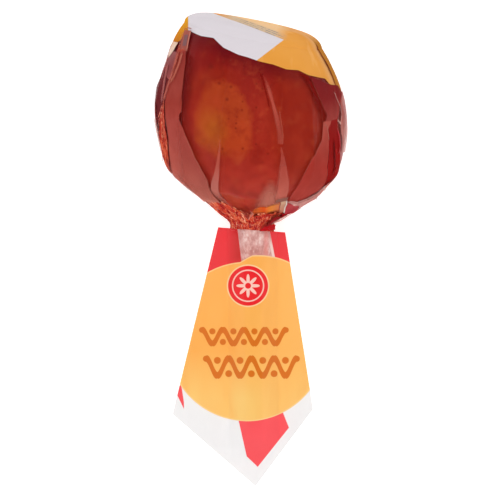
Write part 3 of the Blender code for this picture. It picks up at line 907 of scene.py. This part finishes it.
# Pale creases are painted highlights along the folds, and dark ones are painted shade in them.
FOLD_CREASES = (
    # left
    (FACET_EDGE[2:], BLUSH, 0.5, 0.3, 1.2),
    ((154, -24, 146, -27, 138, -30), (214, 150, 130), 1, 0.5, 0.9),
    ((157, 28, 151, 29, 145, 29), (176, 84, 76), 0.7, 0.7, 0.7),
    ((145, 28.5, 143, 26, 140, 22), (214, 130, 112), 0.7, 0.8, 0.8),
    ((156, 27.5, 153, 25, 150, 22), (206, 124, 108), 0.5, 0.6, 0.8),
    # bright creases down the pleat from the tab
    ((149, 22, 147.5, 17, 148, 13, 149.5, 8, 152, 3), (200, 104, 88), 2, 0.7, 1),
    ((144, 22, 143.5, 18, 145, 14, 147, 11), (204, 108, 88), 1.8, 0.7, 1),
    ((146, 21, 146, 18, 148, 14), (150, 62, 40), 0.6, 0.7, 1.2),
    # between the pleat and the outline
    ((160, 17, 158, 12, 156, 8, 156, 2), (178, 100, 96), 2.2, 0.8, 0.6),
    ((165, 19, 164, 14, 162, 10), (164, 88, 88), 1.6, 0.7, 0.55),
    ((176, 6, 177, 2, 176, -3), (150, 96, 104), 0.9, 0.6, 0.5),
    ((171, 22, 168, 18, 165, 16), (190, 72, 40), 0.8, 0.8, 0.6),
    # middle
    ((84, 22, 81, 19, 78, 15, 76, 12), BLOOD, 0.8, 0.5, 0.45),
    ((70.5, 13, 69, 8, 68, 4, 69, 1), (196, 94, 76), 0.6, 0.5),
    ((57, -19.6, 54, -23.2, 50, -27.6), CREAM, 0.7, 0.95, 1.3),
    ((100, -28.2, 96, -30.4, 93, -32.2), (224, 112, 88), 0.6, 0.8, 1.5),
    ((84, -27.8, 88, -30.2, 92, -32.2), (232, 140, 120), 0.6, 0.8, 1.5),
    ((86, -27, 84, -29, 88, -31), (226, 140, 124), 0.6, 0.8, 1),
    # right
    (RED_EDGE, (172, 66, 56), 0.5, 0.45, 0.7),
    ((38, 9, 40, 3, 44, 0, 49, -4, 52, -8, 54, -12), (196, 96, 84), 0.5, 0.35, 0.8),
    ((38, 9, 35, 7, 34, 2), (206, 120, 104), 0.7, 0.6, 0.8),
    ((24, 6, 22, 3, 21, -1, 22, -4), (206, 58, 66), 0.9, 0.8, 0.8),
    ((29, 3, 28, -3, 25, -8, 24, -12), (92, 2, 4), 1.5, 0.7, 0.7),
    ((27, -1, 24, -5), (176, 28, 26), 1.2, 0.75, 0.85),
    ((20, -7, 22, -9, 19, -12), (172, 26, 24), 1.4, 0.7, 0.8),
    ((22, 18, 20, 15, 15, 12, 14, 9), (214, 150, 140), 0.7, 0.7, 0.7),
    ((23, 9, 19, 7, 14, 10), PEARL, 0.8, 0.7, 0.7),
    ((18, 7, 17, 3, 15, 0, 16, -3), (210, 120, 118), 0.7, 0.6, 0.7),
    ((29, -15, 24, -17, 18, -18), (232, 190, 180), 1.1, 0.8, 1.1),
    ((26, -18, 20, -22, 17, -27), (232, 186, 176), 0.8, 0.6, 1),
    ((56, -20.8, 46, -21.8, 36, -23), (230, 176, 166), 0.8, 0.6, 1.1),
    ((57, -20.4, 48, -20.8, 38, -20, 30, -17.6, 26, -14), (216, 146, 136), 1.3, 0.8, 1.15),
    ((54, -37.5, 48, -39), (206, 30, 40), 0.8, 0.7, 1.1),
    ((22, 33, 21, 31, 20, 28, 17, 25, 15, 21, 14, 18), UMBER, 1.3, 1, 0.35),
    ((20, 27, 18, 25, 16, 22), (120, 14, 10), 1, 0.9, 0.5),
)
# Strips of crumpled film in the toffee's warm colour, with painted glints on them and a dark crease of
# painted shade.
CRUMPLED_SHEETS = (
    ((152, 6, 157, -1, 161, -7, 168, -13, 168, -18, 163, -22, 158, -27),
     (151, 5, 149, -2, 148, -9, 150, -13, 150, -17, 151, -21, 148, -27),
     ((140, 30, 32), (162, 44, 36), (138, 20, 20), (196, 72, 38), (196, 94, 72), (200, 118, 104)),
     (0.5, 0.9, 0.95, 0.9, 0.8, 0.5), (0.5, 0.9)),
    ((153, 23, 151, 16), (142, 22, 146, 15), (168, 74, 60), (0.6, 0.3), 0.5),
)
CRUMPLED_CREASES = (
    ((153, 3, 155, 0, 160, -4), (236, 130, 110), 0.7, 0.85, 1),
    ((152, 0, 154, -5, 156, -8), (224, 96, 70), 0.8, 0.8, 1.1),
    ((156, -2, 160, -6, 164, -11), (226, 140, 126), 0.6, 0.7, 1),
    ((154, -8, 156, -11), (112, 8, 12), 1.6, 0.8, 1.1),
    ((157, -12, 158, -14), (255, 138, 84), 1.5, 1, 1.2),
    ((152, -13, 155, -16, 157, -20), (236, 116, 60), 1, 0.85, 1.1),
    ((160, -15, 163, -19), (222, 96, 48), 0.9, 0.8, 1.1),
    ((156, -22, 148, -26), (216, 122, 84), 1, 0.5, 1),
)

# Folds of the same kinds on the sides and the back: start, end, width in degrees and tint.
OUT_OF_SIGHT = ((-6, 17, -20, -20, 16, ROSE), (-30, 18, -24, -18, 10, PLUM), (-44, 15, -52, -22, 14, DUSK),
                (-66, 18, -62, -16, 12, ROSE), (-84, 14, -78, -24, 14, BLOOD), (198, 17, 192, -16, 12, DUSK),
                (216, 16, 206, -22, 14, ROSE), (236, 18, 228, -20, 10, PLUM), (256, 15, 246, -24, 12, DUSK))


def hidden_folds():
    """Folds at the sides and the back: a wedge that widens to the neck, with a pale crease of painted
    highlight along one edge.
    """
    found = []
    for top_turn, top, low_turn, low, spread, tint in OUT_OF_SIGHT:
        mid_turn, mid = (top_turn + low_turn) / 2 + 3, (top + low) / 2
        first = (top_turn, top, mid_turn, mid, low_turn, low)
        second = (top_turn - 1, top, mid_turn - spread * 0.6, mid, low_turn - spread, low)
        found += [sheet(first, second, tint, (0.5, 0.65, 0.7)), crease(first, BLUSH, 0.7, 0.5)]
    return found


def layers(sheets, creases):
    return [sheet(*row) for row in sheets] + [crease(*row) for row in creases]


def make_folds():
    mesh = join_meshes("folded_film", layers(FOLD_SHEETS, FOLD_CREASES) + hidden_folds())
    add_piece(mesh, folds_material(), sharp=30)


def make_crumples():
    mesh = join_meshes("crumpled_film", layers(CRUMPLED_SHEETS, CRUMPLED_CREASES))
    add_piece(mesh, crumpled_material(), sharp=20)


# Height where the bunched film at the neck begins, at degrees round the head.
GATHER_TOP = ((0, -27), (20, -29.6), (41, -29.6), (50, -28.8), (60, -29), (79, -30), (86, -30.4), (93, -31.2),
              (98, -30), (103, -28.6), (108, -27), (114, -26), (125, -27.5), (140, -29), (160, -30),
              (200, -27), (230, -29), (260, -26), (290, -30), (320, -27), (345, -30), (360, -27))
GATHER_START, GATHER_STOP = -23, -50
NECK_FOLD = 3                # length over which the bunched film closes in on the stick past the neck


def make_gather():
    """The film bunched at the neck, which closes in on the stick under the tail."""
    degrees, height = head_grid(560, GATHER_START, GATHER_STOP, 90)
    below = height_round(GATHER_TOP, degrees) - height
    angle = np.radians(degrees)
    folds = np.empty_like(height)
    for index, (turn, level) in enumerate(zip(angle.ravel(), height.ravel())):
        spot = Vector((3.4 * math.cos(turn), 3.4 * math.sin(turn), level * 0.3))
        folds.flat[index] = 0.5 - abs(noise.noise(spot)) * 1.6 - abs(noise.noise(spot * 2.3)) * 0.7
    lift = 0.2 + folds * 0.8 * smooth(-2, 4, below) - 0.5 * smooth(-34, -39, height)
    points = head_point(FILM_LINE, angle, along_at(np.maximum(height, NECK_END)), lift)
    axis_x, axis_z = stick_axis(points[..., 1])
    axis = np.stack([axis_x, points[..., 1], axis_z], -1)
    points = axis + (points - axis) * (1 - 0.55 * smooth(NECK_END, NECK_END - NECK_FOLD, height))[..., None]
    points += UP_AXIS * np.minimum(height - NECK_END, 0)[..., None]
    top_edge = mix(LEFT_SHOULDER[1], RIGHT_SHOULDER[1], (points[..., 0] + 12) / 24)
    covered = smooth(0.5, -0.1, points[..., 1] - top_edge)
    under_tail = np.minimum(points[..., 2], tail_front_height(points[..., 0], points[..., 1]) - 0.4)
    points[..., 2] = mix(points[..., 2], under_tail, covered)
    values = {"round": degrees * MM_A_DEGREE, "height": height, "below": below}
    add_piece(grid_mesh("gathered_film", points, values=values), gathered_material(), sharp=20)


def make_tail():
    """The flat kite of film below the neck: its printed front and its back, joined along both sides."""
    upper, lower = np.linspace(0, 1, 120), np.linspace(0, 1, 60)[1:, None]
    sides = []
    for shoulder, corner in ((LEFT_SHOULDER, LEFT_CORNER), (RIGHT_SHOULDER, RIGHT_CORNER)):
        sides.append(np.concatenate([mix(shoulder, corner, upper[:, None]), mix(corner, TIP, lower)]))
    left, right = sides
    share = np.linspace(0, 1, 90)[:, None, None]
    front = mix(left[None], right[None], share)
    front_z = tail_front_height(front[..., 0], front[..., 1])
    back = mix(right[None], left[None], share[::2])
    back_z = tail_back_height(back[..., 0], back[..., 1])
    flat = np.concatenate([front, back])
    points = np.concatenate([flat, np.concatenate([front_z, back_z])[..., None]], -1)
    shown = np.concatenate([np.ones(len(front)), np.zeros(len(back))])[:, None]
    add_piece(grid_mesh("film_tail", points, closed=True, values={"front": shown}), tail_material(), sharp=40)


def finish_stick():
    wood = wood_material()
    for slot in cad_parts["stick"].material_slots:
        slot.material = wood


# --- camera, light and floor ---
FLOOR_HALF = 12              # metres


def make_floor():
    corners = [(-FLOOR_HALF, -FLOOR_HALF, 0), (FLOOR_HALF, -FLOOR_HALF, 0), (FLOOR_HALF, FLOOR_HALF, 0),
               (-FLOOR_HALF, FLOOR_HALF, 0)]
    mesh = bpy.data.meshes.new("floor")
    mesh.from_pydata(corners, [], [(0, 1, 2, 3)])
    g = Graph(bpy.data.materials.new("floor"))
    plain = g.node("BsdfDiffuse", Color=[0.85, 0.85, 0.85, 1])
    glow = g.node("Emission", Color=(255, 255, 255), Strength=0.6)
    mesh.materials.append(g.surface(g.fill("AddShader", plain, glow)))
    floor = bpy.data.objects.new("floor", mesh)
    bpy.context.scene.collection.objects.link(floor)


def make_world():
    """White round the horizon and dim overhead, so that glossy film shows deep colour from above."""
    world = bpy.data.worlds.new("studio")
    bpy.context.scene.world = world
    g = Graph(world)
    split = g.node("SeparateXYZ", Vector=g.node("TexCoord").outputs["Generated"])
    level = g.ramp(split.outputs[2], 0.15, 0.8, 0.85, 0.1)
    back = g.node("Background", Color=(255, 255, 255), Strength=level)
    g.node("OutputWorld", Surface=back)


def make_light():
    data = bpy.data.lights.new("overhead", "AREA")
    data.shape = "DISK"
    data.size = 1.6
    data.energy = 21
    lamp = bpy.data.objects.new("overhead", data)
    lamp.location = (0, 0, 1.5)
    lamp.visible_glossy = False
    lamp.visible_camera = False
    bpy.context.scene.collection.objects.link(lamp)


CAMERA_HEIGHT = 6000
PICTURE_WIDTH = 180          # width that the picture takes in, at the height of the head's outline


def make_camera():
    data = bpy.data.cameras.new("camera")
    data.sensor_width = 36
    data.lens = 36 * (CAMERA_HEIGHT - HEAD_CENTRE[2]) / PICTURE_WIDTH
    data.clip_end = 100
    camera = bpy.data.objects.new("camera", data)
    camera.location = Vector((0, -47.5, CAMERA_HEIGHT)) * MM
    bpy.context.scene.collection.objects.link(camera)
    bpy.context.scene.camera = camera


def main():
    make_camera()
    make_world()
    make_light()
    make_floor()
    make_apple()
    make_head_film()
    make_folds()
    make_crumples()
    make_gather()
    make_tail()
    finish_stick()
    scene = bpy.context.scene
    scene.view_settings.view_transform = "Standard"
    scene.cycles.transparent_max_bounces = 24


main()
